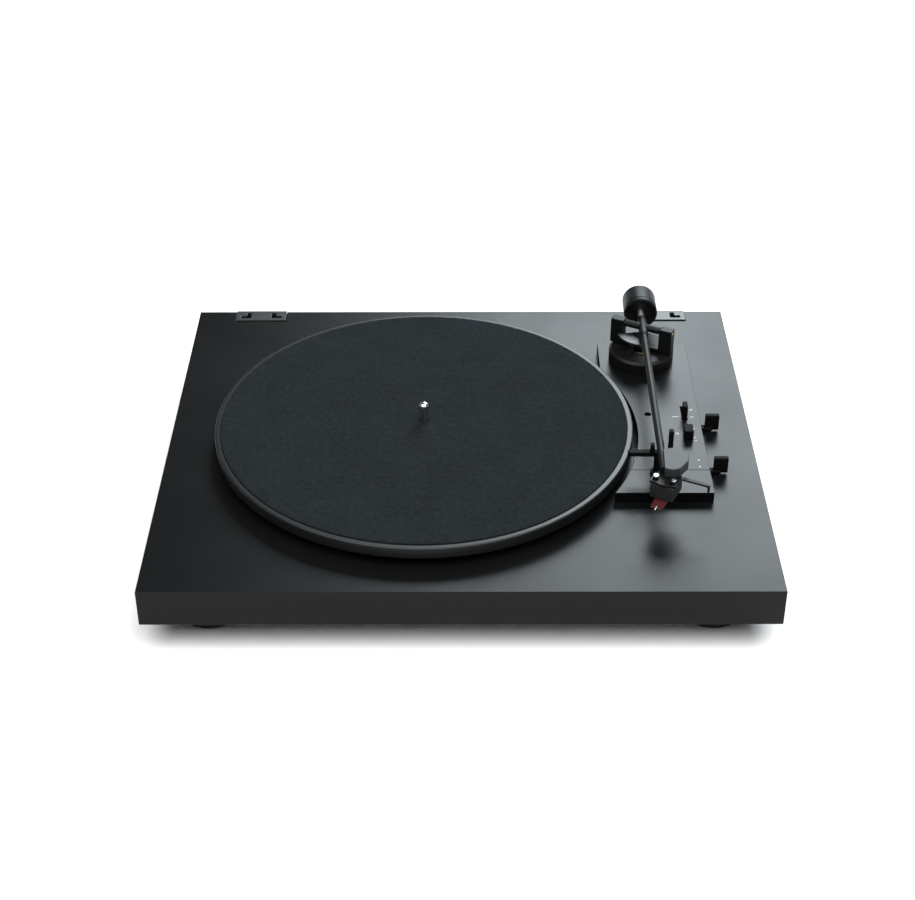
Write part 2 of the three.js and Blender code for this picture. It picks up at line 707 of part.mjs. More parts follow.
// A bearing pin through each cheek of the yoke into the end of the cross tube.
const crossEnd = YOKE.inner - GAP;
function makePivotPin(side) {
  const [a, b] = [crossEnd - CROSS.depth + GAP, YOKE.outer - GAP];
  const pin = rod(CROSS.pin, 0, 0, a, b, SMALL).rotateY(Math.PI / 2);
  return pin.rotateZ(-ARM.offset + (side < 0 ? Math.PI : 0));
}
part("pivot_pin_left", makePivotPin(-1), brass, arm);
part("pivot_pin_right", makePivotPin(1), brass, arm);

function makeArmSleeve() {
  const tube = bar(SLEEVE.radius, 0, 0, -SLEEVE.front, SLEEVE.rear);
  const cross = rod(CROSS.radius, 0, 0, -crossEnd, crossEnd).rotateY(Math.PI / 2);
  const seats = [-1, 1].map((side) => {
    const [a, b] = [side * (crossEnd - CROSS.depth), side * (crossEnd + PAST)];
    const seat = rod(CROSS.pin + RUN, 0, 0, Math.min(a, b), Math.max(a, b), SMALL);
    return seat.rotateY(Math.PI / 2).rotateZ(-ARM.offset);
  });
  const bore = TUBE.radius + GAP;
  return cut(
    join(tube, cross.rotateZ(-ARM.offset)),
    bar(bore, 0, 0, -SLEEVE.front - PAST, -SLEEVE.front + SLEEVE.boreFront),
    bar(bore, 0, 0, SLEEVE.rear - SLEEVE.boreRear, SLEEVE.rear + PAST),
    ...seats,
  );
}
part("arm_sleeve", makeArmSleeve(), blackMetal, arm);

const tubeStart = -SLEEVE.front + SLEEVE.boreFront - GAP;
const tubeEnd = tubeStart - TUBE.length;
part("arm_tube", bar(TUBE.radius, 0, 0, tubeEnd, tubeStart), blackMetal, arm);
const stubStart = SLEEVE.rear - SLEEVE.boreRear + GAP;
part("counterweight_stub", bar(TUBE.radius, 0, 0, stubStart, stubStart + STUB_LENGTH), steel, arm);

function makeCounterweight() {
  const bore = TUBE.radius + RUN;
  const { radius, length, start, dish, dishWall, face } = WEIGHT;
  const { front, rear, grooveAt, grooveDeep, grooveWide } = WEIGHT_EDGE;
  const body = turned([
    [bore, start + dish],
    [radius - dishWall, start + dish],
    [radius - face, start],
    [radius - front, start],
    [radius, start + front],
    [radius, start + grooveAt],
    [radius - grooveDeep, start + grooveAt],
    [radius - grooveDeep, start + grooveAt + grooveWide],
    [radius, start + grooveAt + grooveWide],
    [radius, start + length - rear],
    [radius - rear, start + length],
    [bore, start + length],
  ]);
  return body.rotateX(-Math.PI / 2);
}
part("counterweight", makeCounterweight(), blackMetal, arm);

// ---- Headshell, cartridge and stylus: turned inwards by the offset angle at the screws ----
const head = new THREE.Group();
head.position.set(0, -HEAD.toHoles, 0);
head.rotation.z = -ARM.offset;
arm.add(head);

const shellTop = -TUBE.radius - GAP;
const shellBottom = shellTop - HEAD.plate;
const screwSides = [-HEAD.holes / 2, HEAD.holes / 2];

const headHoles = (low, high) =>
  screwSides.map((x) => rod(SCREW.radius + GAP, x, 0, low, high, SMALL));

function makeHeadshell() {
  const points = [
    [-9.2, -4.6],
    [0, -6.2],
    [9.8, -4.2],
    [9.8, 6.4],
    [5.2, 10.8],
    [-5.2, 10.8],
    [-9.8, 4],
  ];
  const plate = raised(outline(points), shellBottom, shellTop);
  return cut(plate, ...headHoles(shellBottom - PAST, shellTop + PAST));
}
part("headshell", makeHeadshell(), blackMetal, head);

// The cap over the tube's end; its underside is hollowed for the tube.
function makeHeadCap() {
  const points = [
    [-1.5, 2.8],
    [4.6, 3.4],
    [8.2, 7.6],
    [9.8, 19],
    [7.2, 26.5],
    [-6, 28.2],
    [-11.4, 24.4],
  ];
  const low = shellTop + GAP;
  const cap = raised(outline(points), low, TUBE.radius + HEAD.capRaise + HEAD.cap);
  const bore = bar(TUBE.radius + GAP, 0, 0, tubeEnd - GAP, 0).rotateZ(ARM.offset);
  const shift = HEAD.toHoles;
  const alongX = -shift * Math.sin(ARM.offset);
  const alongY = shift * Math.cos(ARM.offset);
  return cut(cap, bore.translate(alongX, alongY, 0));
}
part("headshell_cap", makeHeadCap(), blackMetal, head);

function makeFingerLift() {
  const [x0, x1] = [FINGER.from, FINGER.out];
  const [y0, y1] = [FINGER.ahead - FINGER.width, FINGER.ahead];
  const z1 = shellTop;
  const blade = block(x0, y0, z1 - FINGER.thick, x1, y1, z1);
  const hook = block(x1 - FINGER.thick, y0, z1 - FINGER.hook, x1, y1, z1);
  return join(blade, hook);
}
part("finger_lift", makeFingerLift(), blackMetal, head);

const bodyTop = shellBottom - GAP;
const bodyBottom = bodyTop - CARTRIDGE.height;
function makeCartridge() {
  const half = CARTRIDGE.wide / 2;
  const body = block(-half, -CARTRIDGE.front, bodyBottom, half, CARTRIDGE.back, bodyTop);
  return cut(body, ...headHoles(bodyTop - SCREW.hole, bodyTop + PAST));
}
part("cartridge", makeCartridge(), blackPlastic, head);

function makeScrew(x) {
  const seat = shellTop + GAP;
  const top = seat + SCREW.tall;
  const screw = turned(
    [
      [0, bodyTop - SCREW.bite],
      [SCREW.radius, bodyTop - SCREW.bite],
      [SCREW.radius, seat],
      [SCREW.head, seat],
      [SCREW.head, top],
      [0, top],
    ],
    x,
    0,
  );
  return cut(screw, rod(SCREW.socket, x, 0, top - SCREW.socketDeep, top + PAST, HEXAGON));
}
part("cartridge_screw_left", makeScrew(screwSides[0]), steel, head);
part("cartridge_screw_right", makeScrew(screwSides[1]), steel, head);

// The stylus holder plugs into the cartridge's underside; its tip clears the mat.
const tipBottom = matTop + STYLUS_CLEAR - armZ;
function makeStylusHolder() {
  const top = bodyBottom - GAP;
  const side = [
    [STYLUS.back, top],
    [STYLUS.back, top - STYLUS.heel],
    [-STYLUS.keel, tipBottom + STYLUS.rise],
    [-STYLUS.front + STYLUS.nose, tipBottom + STYLUS.nose],
    [-STYLUS.front, tipBottom + STYLUS.lip],
    [-CARTRIDGE.front - STYLUS.nose, top],
  ];
  const half = STYLUS.wide / 2;
  const body = raised(outline(side), -half, half);
  return body.rotateX(Math.PI / 2).rotateZ(Math.PI / 2);
}
part("stylus_holder", makeStylusHolder(), redPlastic, head);

// ---- Arm rest ----
function makeArmRest() {
  const base = plinthTop;
  const foot = boardTop + GAP;
  const [barLow, barTop] = [base + REST.barLow, base + REST.barLow + REST.bar];
  const [y0, y1] = [REST.y - REST.depth / 2, REST.y + REST.depth / 2];
  const postX = ARM.x - (ARM.y - REST.y) * Math.sin(ARM.lean);
  const clipTop = armZ - TUBE.radius - REST_CLIP.gap;
  const right = REST_CLIP.prong + REST_CLIP.prongWide / 2;
  const nib = REST_CLIP.nib - REST_CLIP.nibWide / 2;
  return join(
    rod(REST.foot, postX, REST.y, foot, foot + REST.footHigh),
    rod(REST.post, postX, REST.y, foot, barTop - BITE),
    block(REST.left, y0, barLow, right, y1, barTop),
    rod(REST.depth / 2, REST.left, REST.y, barLow, barTop),
    block(nib, y0, barTop - BITE, nib + REST_CLIP.nibWide, y1, clipTop),
    block(right - REST_CLIP.prongWide, y0, barTop - BITE, right, y1, base + REST_CLIP.prongTop),
  );
}
part("arm_rest", makeArmRest(), blackPlastic);

// ---- Rear socket panel, sockets and circuit board ----
function jackPlaces() {
  const first = SOCKETS.left + JACKS.first;
  return Array.from({ length: JACKS.count }, (_, i) => first + i * JACKS.step);
}

function makeSocketPanel() {
  const [low, high] = [plinthBottom + SOCKETS.low + GAP, plinthBottom + SOCKETS.high - GAP];
  const [x0, x1] = [SOCKETS.left + GAP, SOCKETS.right - GAP];
  const sheet = block(x0, panelY - SOCKETS.panel, low, x1, panelY, high);
  const holes = jackPlaces().map((x) =>
    bar(JACK.radius + GAP, x, socketZ, panelY - SOCKETS.panel - PAST, panelY + PAST, SMALL),
  );
  return cut(sheet, ...holes);
}
part("socket_panel", makeSocketPanel(), blackMetal);

function makeJack(x, { bore, out, flange }) {
  const face = panelY + GAP;
  const body = bar(JACK.radius, x, socketZ, panelY - SOCKETS.panel - JACK.tail, face + out, SMALL);
  const collar = bar(flange, x, socketZ, face, face + JACK.flangeThick, SMALL);
  return cut(join(body, collar), bar(bore, x, socketZ, face + JACK.floor, face + out + PAST, SMALL));
}
const [leftJack, rightJack, earthJack, powerJack] = jackPlaces();
part("phono_socket_left", makeJack(leftJack, PHONO), steel);
part("phono_socket_right", makeJack(rightJack, PHONO), brass);
part("ground_terminal", makeJack(earthJack, EARTH), steel);
part("power_inlet", makeJack(powerJack, INLET), blackPlastic);

function makeCircuitBoard() {
  const y1 = panelY - SOCKETS.panel - JACK.tail - CIRCUIT.behind;
  const x0 = leftJack - CIRCUIT.side;
  const z0 = baseTop + CIRCUIT.stand;
  return block(x0, y1 - CIRCUIT.wide, z0, x0 + CIRCUIT.long, y1, z0 + CIRCUIT.thick);
}
part("circuit_board", makeCircuitBoard(), greenBoard);

export default turntable;
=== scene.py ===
"""A belt-driven automatic turntable, dressed over its fixed frame, in metres."""

import json
import math

import bmesh
import bpy
from mathutils import Matrix, Vector


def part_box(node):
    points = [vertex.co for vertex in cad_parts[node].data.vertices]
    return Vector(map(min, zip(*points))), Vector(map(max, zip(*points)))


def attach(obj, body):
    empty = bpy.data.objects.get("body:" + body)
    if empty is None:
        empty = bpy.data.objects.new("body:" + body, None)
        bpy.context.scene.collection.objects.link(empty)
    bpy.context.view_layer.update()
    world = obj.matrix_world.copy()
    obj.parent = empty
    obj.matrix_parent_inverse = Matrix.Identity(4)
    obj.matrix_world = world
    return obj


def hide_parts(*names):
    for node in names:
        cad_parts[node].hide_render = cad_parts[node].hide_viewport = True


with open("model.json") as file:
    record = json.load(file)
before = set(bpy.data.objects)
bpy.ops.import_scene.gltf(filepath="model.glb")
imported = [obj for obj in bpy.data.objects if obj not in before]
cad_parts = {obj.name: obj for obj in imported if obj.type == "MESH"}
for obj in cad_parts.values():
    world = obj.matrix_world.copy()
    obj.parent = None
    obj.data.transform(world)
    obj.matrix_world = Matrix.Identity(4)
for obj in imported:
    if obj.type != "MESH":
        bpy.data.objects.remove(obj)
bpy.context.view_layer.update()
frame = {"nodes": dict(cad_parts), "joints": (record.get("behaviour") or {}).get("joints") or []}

scene = bpy.context.scene

# ---- Camera ----
# The viewer stands in front of the plinth and looks down on it through a long lens.
CAMERA_PLACE = (-0.000662, -1.087198, 0.791165)
CAMERA_RIGHT = Vector((0.999998, 0.000459, -0.001718))
CAMERA_UP = Vector((0.0011506, 0.569845, 0.821751))
LENS = 69.72
SENSOR_WIDTH = 36.0

lens = bpy.data.cameras.new("viewer")
lens.sensor_width, lens.lens = SENSOR_WIDTH, LENS
camera = bpy.data.objects.new("viewer", lens)
turn = Matrix((CAMERA_RIGHT, CAMERA_UP, CAMERA_RIGHT.cross(CAMERA_UP))).transposed()
camera.matrix_world = Matrix.Translation(CAMERA_PLACE) @ turn.to_4x4()
scene.collection.objects.link(camera)
scene.camera = camera

# ---- Studio ----
# A seamless pale floor, a large softbox overhead, a brighter one behind the right-hand corner
# and a dim room round them.
FLOOR_RADIUS = 9.0
FLOOR_COLOUR = (0.86, 0.86, 0.86, 1.0)
ROOM_LIGHT = 0.10
SOFTBOXES = [
    # name, place, aimed at, width, depth, watts, colour
    ("overhead", (0.0, -1.0, 2.4), (0.0, -0.4, 0.0), 4.4, 2.8, 165.0, (1.0, 1.0, 1.0)),
    ("behind_right", (0.74, 2.0, 1.5), (0.10, 0.05, 0.05), 1.6, 1.1, 72.0, (0.87, 0.96, 1.0)),
]

scene.view_settings.view_transform = "Standard"
world = bpy.data.worlds.new("room")
scene.world = world
world.use_nodes = True
world.node_tree.nodes["Background"].inputs["Color"].default_value = (1.0, 1.0, 1.0, 1.0)
world.node_tree.nodes["Background"].inputs["Strength"].default_value = ROOM_LIGHT

for name, place, aim, width, depth, watts, colour in SOFTBOXES:
    lamp = bpy.data.lights.new(name, "AREA")
    lamp.shape, lamp.size, lamp.size_y, lamp.energy = "RECTANGLE", width, depth, watts
    lamp.color = colour
    softbox = bpy.data.objects.new(name, lamp)
    softbox.location = place
    softbox.rotation_euler = (Vector(aim) - Vector(place)).to_track_quat("-Z", "Y").to_euler()
    scene.collection.objects.link(softbox)

floor_mesh = bpy.data.meshes.new("floor")
disc = bmesh.new()
bmesh.ops.create_circle(disc, cap_ends=True, radius=FLOOR_RADIUS, segments=64)
disc.to_mesh(floor_mesh)
disc.free()
floor = bpy.data.objects.new("floor", floor_mesh)
floor_paper = bpy.data.materials.new("floor_paper")
floor_paper.use_nodes = True
floor_shader = floor_paper.node_tree.nodes["Principled BSDF"].inputs
floor_shader["Base Color"].default_value = FLOOR_COLOUR
floor_shader["Roughness"].default_value = 0.9
floor_shader["Specular IOR Level"].default_value = 0.0
floor_mesh.materials.append(floor_paper)
scene.collection.objects.link(floor)

# ---- Plinth ----
# A slab of fibreboard, hollowed from below, with every outer face sprayed in a fine-grained
# matte black. Its edges are only just broken.
PAINT_COLOUR = (0.0032, 0.0034, 0.0037)
PAINT_ROUGHNESS = 0.32
PAINT_SHINE = {"Specular IOR Level": 0.15}
PLINTH_EDGE = 0.0005


class Wire:
    """One output of a finish's nodes; arithmetic on it adds Math nodes."""

    def __init__(self, finish, socket):
        self.finish, self.socket = finish, socket

    def maths(self, operation, *values):
        return self.finish.node("ShaderNodeMath", {"operation": operation}, dict(enumerate(values)))

    def __add__(self, other):
        return self.maths("ADD", self, other)

    def __sub__(self, other):
        return self.maths("SUBTRACT", self, other)

    def __rsub__(self, other):
        return self.maths("SUBTRACT", other, self)

    def __mul__(self, other):
        return self.maths("MULTIPLY", self, other)

    __radd__, __rmul__ = __add__, __mul__


class Finish:
    """A material for one surface: its shader, and the nodes that feed it."""

    def __init__(self, name, colour, roughness, metallic=0.0, **fixed):
        self.material = bpy.data.materials.new(name)
        self.material.use_nodes = True
        self.tree = self.material.node_tree
        self.shader = self.tree.nodes["Principled BSDF"]
        self.colour, self.roughness = colour, roughness
        plain = {"Base Color": (*colour, 1.0), "Roughness": roughness, "Metallic": metallic}
        self.feed(self.shader, {**plain, **fixed})
        self.place = self.node("ShaderNodeTexCoord", output="Object")

    def feed(self, node, sockets):
        for socket, value in sockets.items():
            if isinstance(value, Wire):
                self.tree.links.new(value.socket, node.inputs[socket])
            else:
                node.inputs[socket].default_value = value

    def node(self, kind, settings=None, sockets=None, output=0):
        node = self.tree.nodes.new(kind)
        for setting, value in (settings or {}).items():
            if setting == "stops":
                while len(node.color_ramp.elements) < len(value):
                    node.color_ramp.elements.new(1.0)
                for element, (position, colour) in zip(node.color_ramp.elements, value):
                    element.position, element.color = position, (*colour, 1.0)
            else:
                setattr(node, setting, value)
        self.feed(node, sockets or {})
        return Wire(self, node.outputs[output])

    def stretched(self, scale):
        """The surface's coordinates, scaled apart on the three axes."""
        sockets = {0: self.place, 1: scale}
        return self.node("ShaderNodeVectorMath", {"operation": "MULTIPLY"}, sockets)

    def cloudy(self, size, detail=3.0, along=None):
        """Noise about 0.5, with marks of a size in metres."""
        sockets = {"Vector": along or self.place, "Scale": 1.0 / size, "Detail": detail}
        return self.node("ShaderNodeTexNoise", {"noise_dimensions": "3D"}, sockets)

    def tinted(self, factor, low, high):
        """The finish's colour, from low times it to high times it as the factor rises."""
        ends = [tuple(share * c for c in self.colour) for share in (low, high)]
        stops = {"stops": [(0.0, ends[0]), (1.0, ends[1])]}
        return self.node("ShaderNodeValToRGB", stops, {"Fac": factor})

    def relief(self, height, depth):
        """A bump that stands depth metres high where the height is 1."""
        sockets = {"Height": height, "Distance": depth, "Strength": 1.0}
        self.feed(self.shader, {"Normal": self.node("ShaderNodeBump", None, sockets)})


def grained(name, colour, roughness, grain, depth, tone=0.25, gloss=0.12, **fixed):
    """A sprayed or moulded finish: a fine grain, with faint patches of tone and gloss."""
    finish = Finish(name, colour, roughness, **fixed)
    fine = finish.cloudy(grain)
    patch = finish.cloudy(0.06, detail=4.0)
    blend = fine * 0.5 + patch * 0.5
    rough = roughness + (patch - 0.5) * gloss + (fine - 0.5) * gloss
    colours = finish.tinted(blend, 1.0 - tone, 1.0 + tone)
    finish.feed(finish.shader, {"Base Color": colours, "Roughness": rough})
    finish.relief(fine, depth)
    return finish.material


def dress(node, finish, edge=0.0, steps=2):
    """Gives a frame node its finish, and breaks its sharp edges by edge metres."""
    piece = frame["nodes"][node]
    piece.data.materials.clear()
    piece.data.materials.append(finish)
    if edge:
        weld = piece.modifiers.new("one_skin", "WELD")
        weld.merge_threshold = 1e-6
        soften(piece, edge, steps)
    return piece


def soften(piece, edge, steps):
    """Rounds a piece's sharp edges, and shades its flat faces flat."""
    rounding = piece.modifiers.new("broken_edge", "BEVEL")
    rounding.width, rounding.segments = edge, steps
    rounding.limit_method, rounding.angle_limit = "ANGLE", math.radians(32.0)
    rounding.use_clamp_overlap = False
    piece.data.shade_smooth()
    piece.modifiers.new("flat_faces", "WEIGHTED_NORMAL").weight = 80


plinth_paint = grained("plinth_paint", PAINT_COLOUR, PAINT_ROUGHNESS, 0.0007, 0.00003, **PAINT_SHINE)
dress("plinth", plinth_paint, PLINTH_EDGE)

# ---- Base plate, screws and feet ----
# A zinc-plated steel plate closes the slab from below, held by four pan-head screws. The four
# feet are turned discs of dense rubber with a softened toe and one groove round the middle.
ZINC_COLOUR = (0.42, 0.43, 0.44)
RUBBER_COLOUR = (0.011, 0.011, 0.0115)
FOOT_TOE = 0.002
FOOT_GROOVE_DEEP, FOOT_GROOVE_WIDE = 0.0008, 0.0022
FOOT_CORNERS = ("front_left", "front_right", "rear_left", "rear_right")


def turned(profile, sides=96):
    """A closed solid of revolution about Z, from (radius, height) points in metres."""
    solid = bmesh.new()
    rings = []
    for i in range(sides):
        a = 2 * math.pi * i / sides
        rings.append([solid.verts.new((r * math.cos(a), r * math.sin(a), z)) for r, z in profile])
    for ring, following in zip(rings, rings[1:] + rings[:1]):
        for k in range(len(profile)):
            n = (k + 1) % len(profile)
            solid.faces.new((ring[k], following[k], following[n], ring[n]))
    bmesh.ops.remove_doubles(solid, verts=solid.verts, dist=1e-7)
    bmesh.ops.recalc_face_normals(solid, faces=solid.faces)
    return solid


def settle(name, solid, finish, body="root", nodes=(), place=None, edge=0.0, steps=2):
    """Makes a finished solid a piece of the turntable, on its body and in its place."""
    if place is not None:
        solid.transform(place)
    mesh = bpy.data.meshes.new(name)
    solid.to_mesh(mesh)
    solid.free()
    piece = bpy.data.objects.new(name, mesh)
    scene.collection.objects.link(piece)
    mesh.materials.append(finish)
    if edge:
        soften(piece, edge, steps)
    else:
        mesh.shade_smooth()
        mesh.set_sharp_from_angle(angle=math.radians(32.0))
    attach(piece, body)
    if nodes:
        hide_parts(*nodes)
    return piece


def middle(node):
    """The upright axis through the middle of a frame node, as a place at floor level."""
    low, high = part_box(node)
    return Matrix.Translation(((low.x + high.x) / 2, (low.y + high.y) / 2, 0.0))


def plated(name, colour, roughness, size, metallic=1.0):
    """Metal with a crystalline bloom: patches of tone and gloss over a bright ground."""
    finish = Finish(name, colour, roughness, metallic)
    bloom = finish.node(
        "ShaderNodeTexVoronoi", None, {"Vector": finish.place, "Scale": 1.0 / size}, "Distance"
    )
    cloud = finish.cloudy(size * 4)
    mixed = bloom * 0.5 + cloud * 0.5
    finish.feed(
        finish.shader,
        {
            "Base Color": finish.tinted(mixed, 0.72, 1.15),
            "Roughness": roughness - 0.06 + mixed * 0.18,
        },
    )
    finish.relief(cloud, 0.00001)
    return finish.material


zinc_plate = plated("zinc_plate", ZINC_COLOUR, 0.38, 0.004, 0.9)
rubber = grained("rubber", RUBBER_COLOUR, 0.82, 0.0012, 0.00008)
dress("base_plate", zinc_plate, 0.0003)
for side in ("left", "right", "front", "rear"):
    dress(f"base_screw_{side}", zinc_plate, 0.0004)

for corner in FOOT_CORNERS:
    low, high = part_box(f"foot_{corner}")
    radius, top = (high.x - low.x) / 2, high.z
    groove = top / 2
    foot = [(0.0, 0.0), (radius - FOOT_TOE, 0.0)]
    for i in range(1, 6):
        a = math.pi / 2 * i / 5
        foot.append((radius - FOOT_TOE * (1 - math.sin(a)), FOOT_TOE * (1 - math.cos(a))))
    foot += [
        (radius, groove - FOOT_GROOVE_WIDE / 2),
        (radius - FOOT_GROOVE_DEEP, groove - FOOT_GROOVE_WIDE / 4),
        (radius - FOOT_GROOVE_DEEP, groove + FOOT_GROOVE_WIDE / 4),
        (radius, groove + FOOT_GROOVE_WIDE / 2),
        (radius, top - 0.0005),
        (radius - 0.0005, top),
        (0.0, top),
    ]
    node = f"foot_{corner}"
    settle(f"rubber_{node}", turned(foot), rubber, nodes=[node], place=middle(node))

# ---- Sockets for the lid's hinges ----
# Two black moulded plates let into the slab's rear corners, each with a pair of L-shaped slots
# that the lid's hinges hook into.
MOULDED_COLOUR = (0.0085, 0.0088, 0.0092)
black_plastic = grained("black_plastic", MOULDED_COLOUR, 0.42, 0.0005, 0.00003)
for side in ("left", "right"):
    dress(f"hinge_socket_{side}", black_plastic, 0.0004)

# ---- Main bearing, sub-platter and spindle ----
# A turned steel housing stands in the slab. The spindle runs in it on a nylon pad, carries the
# moulded sub-platter, and ends in a polished pin with a rounded nose.
STEEL_COLOUR = (0.56, 0.57, 0.58)
CHROME_COLOUR = (0.78, 0.79, 0.80)
NYLON_COLOUR = (0.68, 0.66, 0.58)
SPINDLE_FOOT = 0.001
SPINDLE_NOSE = 0.0026
SPINDLE_STEP = 0.00045
SHOULDER_BELOW_RIM = 0.0063
NOSE_STEPS = 9


def machined(name, colour, roughness, line, depth=0.000004):
    """Turned or drawn metal with fine tool marks, drawn out along Y."""
    finish = Finish(name, colour, roughness, 1.0)
    across = finish.stretched((1.0 / line, 0.05 / line, 1.0 / line))
    marks = finish.node("ShaderNodeTexNoise", None, {"Vector": across, "Scale": 1.0, "Detail": 2.0})
    finish.feed(
        finish.shader,
        {
            "Base Color": finish.tinted(marks, 0.82, 1.1),
            "Roughness": roughness * 0.6 + marks * roughness * 0.8,
        },
    )
    finish.relief(marks, depth)
    return finish.material


steel = machined("steel", STEEL_COLOUR, 0.3, 0.0004)
chrome = machined("chrome", CHROME_COLOUR, 0.09, 0.0008, 0.000001)
nylon = grained("nylon", NYLON_COLOUR, 0.5, 0.002, 0.00002, tone=0.08)
dress("bearing_housing", steel, 0.0004)
dress("thrust_pad", nylon, 0.0002)
dress("sub_platter", black_plastic, 0.0004)

low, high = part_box("spindle")
shank = (high.x - low.x) / 2
tip = shank - SPINDLE_STEP
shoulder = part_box("platter")[1].z - SHOULDER_BELOW_RIM
pin = [(0.0, low.z), (shank - SPINDLE_FOOT, low.z), (shank, low.z + SPINDLE_FOOT)]
pin += [(shank, shoulder), (tip, shoulder)]
for i in range(NOSE_STEPS):
    a = math.pi / 2 * i / NOSE_STEPS
    pin.append((tip * math.cos(a), high.z - SPINDLE_NOSE * (1 - math.sin(a))))
pin.append((0.0, high.z))
settle(
    "polished_spindle", turned(pin, 64), chrome, "platter", ["spindle"], middle("spindle")
)

# ---- Platter ----
# A die-cast aluminium dish, turned all over and finished in satin black, with a rounded rim
# that stands a little proud of the mat laid in it.
PLATTER_COLOUR = (0.006, 0.0064, 0.007)
PLATTER_WALL, PLATTER_DECK, PLATTER_LIP = 0.005, 0.0036, 0.0024
PLATTER_CLEAR = 0.0003
RIM_ROUND, RIM_STEPS, PLATTER_CHAMFER = 0.0012, 6, 0.001
LATHE_PITCH = 0.0004


def lathed(name, colour, roughness, centre, pitch, **fixed):
    """A satin finish over the fine rings that a lathe leaves round a centre."""
    finish = Finish(name, colour, roughness, **fixed)
    offset = {0: finish.place, 1: (centre.x, centre.y, 0.0)}
    out = finish.node("ShaderNodeVectorMath", {"operation": "SUBTRACT"}, offset)
    flat = finish.node("ShaderNodeVectorMath", {"operation": "MULTIPLY"}, {0: out, 1: (1, 1, 0)})
    radius = finish.node("ShaderNodeVectorMath", {"operation": "LENGTH"}, {0: flat}, "Value")
    sockets = {"W": radius * (1.0 / pitch), "Detail": 1.0, "Scale": 1.0}
    rings = finish.node("ShaderNodeTexNoise", {"noise_dimensions": "1D"}, sockets)
    patch = finish.cloudy(0.05)
    mixed = rings * 0.6 + patch * 0.4
    finish.feed(
        finish.shader,
        {
            "Base Color": finish.tinted(mixed, 0.8, 1.25),
            "Roughness": roughness - 0.05 + mixed * 0.1,
        },
    )
    finish.relief(rings, 0.000008)
    return finish.material


low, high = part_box("platter")
centre = (low + high) / 2
platter_black = lathed("platter_black", PLATTER_COLOUR, 0.4, centre, LATHE_PITCH, Metallic=0.3)
radius = (high.x - low.x) / 2
mat_low, mat_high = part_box("platter_mat")
mat_radius = (mat_high.x - mat_low.x) / 2
deck = high.z - PLATTER_LIP
bore = tip + PLATTER_CLEAR
dish = [(bore, deck - PLATTER_DECK), (radius - PLATTER_WALL, deck - PLATTER_DECK)]
dish += [(radius - PLATTER_WALL, low.z), (radius - PLATTER_CHAMFER, low.z)]
dish += [(radius, low.z + PLATTER_CHAMFER)]
for i in range(RIM_STEPS + 1):
    a = math.pi / 2 * i / RIM_STEPS
    reach, rise = 1 - math.cos(a), 1 - math.sin(a)
    dish.append((radius - RIM_ROUND * reach, high.z - RIM_ROUND * rise))
recess = mat_radius + PLATTER_CLEAR
dish += [(recess, high.z), (recess, deck), (bore, deck)]
settle(
    "turned_platter",
    turned(dish, 240),
    platter_black,
    "platter",
    ["platter"],
    middle("platter"),
)

# ---- Mat ----
# A disc of pressed charcoal felt, 3 mm thick, laid in the platter round the spindle. Its top is
# mottled where the fibres lie different ways, and its cut edge is rounded by the press.
FELT_COLOUR = (0.0070, 0.0092, 0.0108)
FIBRE_SIZE, TUFT_SIZE, CLOUD_SIZE = 0.0011, 0.0035, 0.03
FELT_RELIEF = 0.0005
MAT_EDGE = 0.0007
MAT_RINGS = 60


def pressed_felt():
    """Charcoal felt: fine fibres, small tufts and wide faint clouds in its colour."""
    finish = Finish("charcoal_felt", FELT_COLOUR, 0.95, **{"Specular IOR Level": 0.1})
    fibres = finish.cloudy(FIBRE_SIZE, detail=5.0)
    tufts = finish.cloudy(TUFT_SIZE, detail=3.0)
    clouds = finish.cloudy(CLOUD_SIZE, detail=2.0)
    mottle = (fibres * 0.5 + tufts * 0.35 + clouds * 0.15 - 0.5) * 2.2 + 0.5
    finish.feed(
        finish.shader,
        {"Base Color": finish.tinted(mottle, 0.25, 1.9), "Roughness": 0.88 + fibres * 0.12},
    )
    finish.relief(fibres * 0.6 + tufts * 0.4, FELT_RELIEF)
    return finish.material


felt = pressed_felt()
bottom, top = mat_low.z, mat_high.z
pressed = [(bore + (mat_radius - bore) * i / MAT_RINGS, bottom) for i in range(MAT_RINGS + 1)]
pressed += [(mat_radius, top - MAT_EDGE), (mat_radius - MAT_EDGE * 0.3, top - MAT_EDGE * 0.3)]
inner = mat_radius - MAT_EDGE
pressed += [(inner + (bore - inner) * i / MAT_RINGS, top) for i in range(MAT_RINGS + 1)]
mat = settle(
    "felt_mat", turned(pressed, 240), felt, "platter", ["platter_mat"], middle("platter_mat")
)

# ---- Motor, pulley and belt ----
# The motor hangs from a plated plate under the platter, and its brass pulley drives the
# sub-platter through a flat rubber belt.
BRASS_COLOUR = (0.58, 0.40, 0.17)
brass = machined("brass", BRASS_COLOUR, 0.28, 0.0005)
dress("motor_plate", zinc_plate, 0.0003)
dress("motor", zinc_plate, 0.0008)
dress("motor_pulley", brass, 0.0002)
dress("drive_belt", rubber, 0.0002)

# ---- Raised board ----
# Two pieces of the same black-painted board beside the platter, with a fine seam between them,
# hollow underneath and cut round for the platter. White marks are printed by the levers.
BOARD_EDGE = 0.0003
PRINT_COLOUR = (0.62, 0.63, 0.64)
PRINT_THICK = 0.00006
FIGURE_HIGH = 0.0026
# Printed figures and marks, by where they stand on the board.
SPEED_FIGURES = (("45", 0.1712, 0.0217), ("33", 0.1708, 0.0118))
DOTS = ((0.1720, -0.0027), (0.1718, -0.0145), (0.1713, -0.0432), (0.1712, -0.0513))
DOT_RADIUS = 0.00055
BARS = ((0.1575, 0.0132, 0.0050, 0.0005), (0.1712, -0.0182, 0.0016, 0.0004))
RING_AT, RING_OUTER, RING_INNER = (0.1593, -0.0090), 0.0012, 0.0008

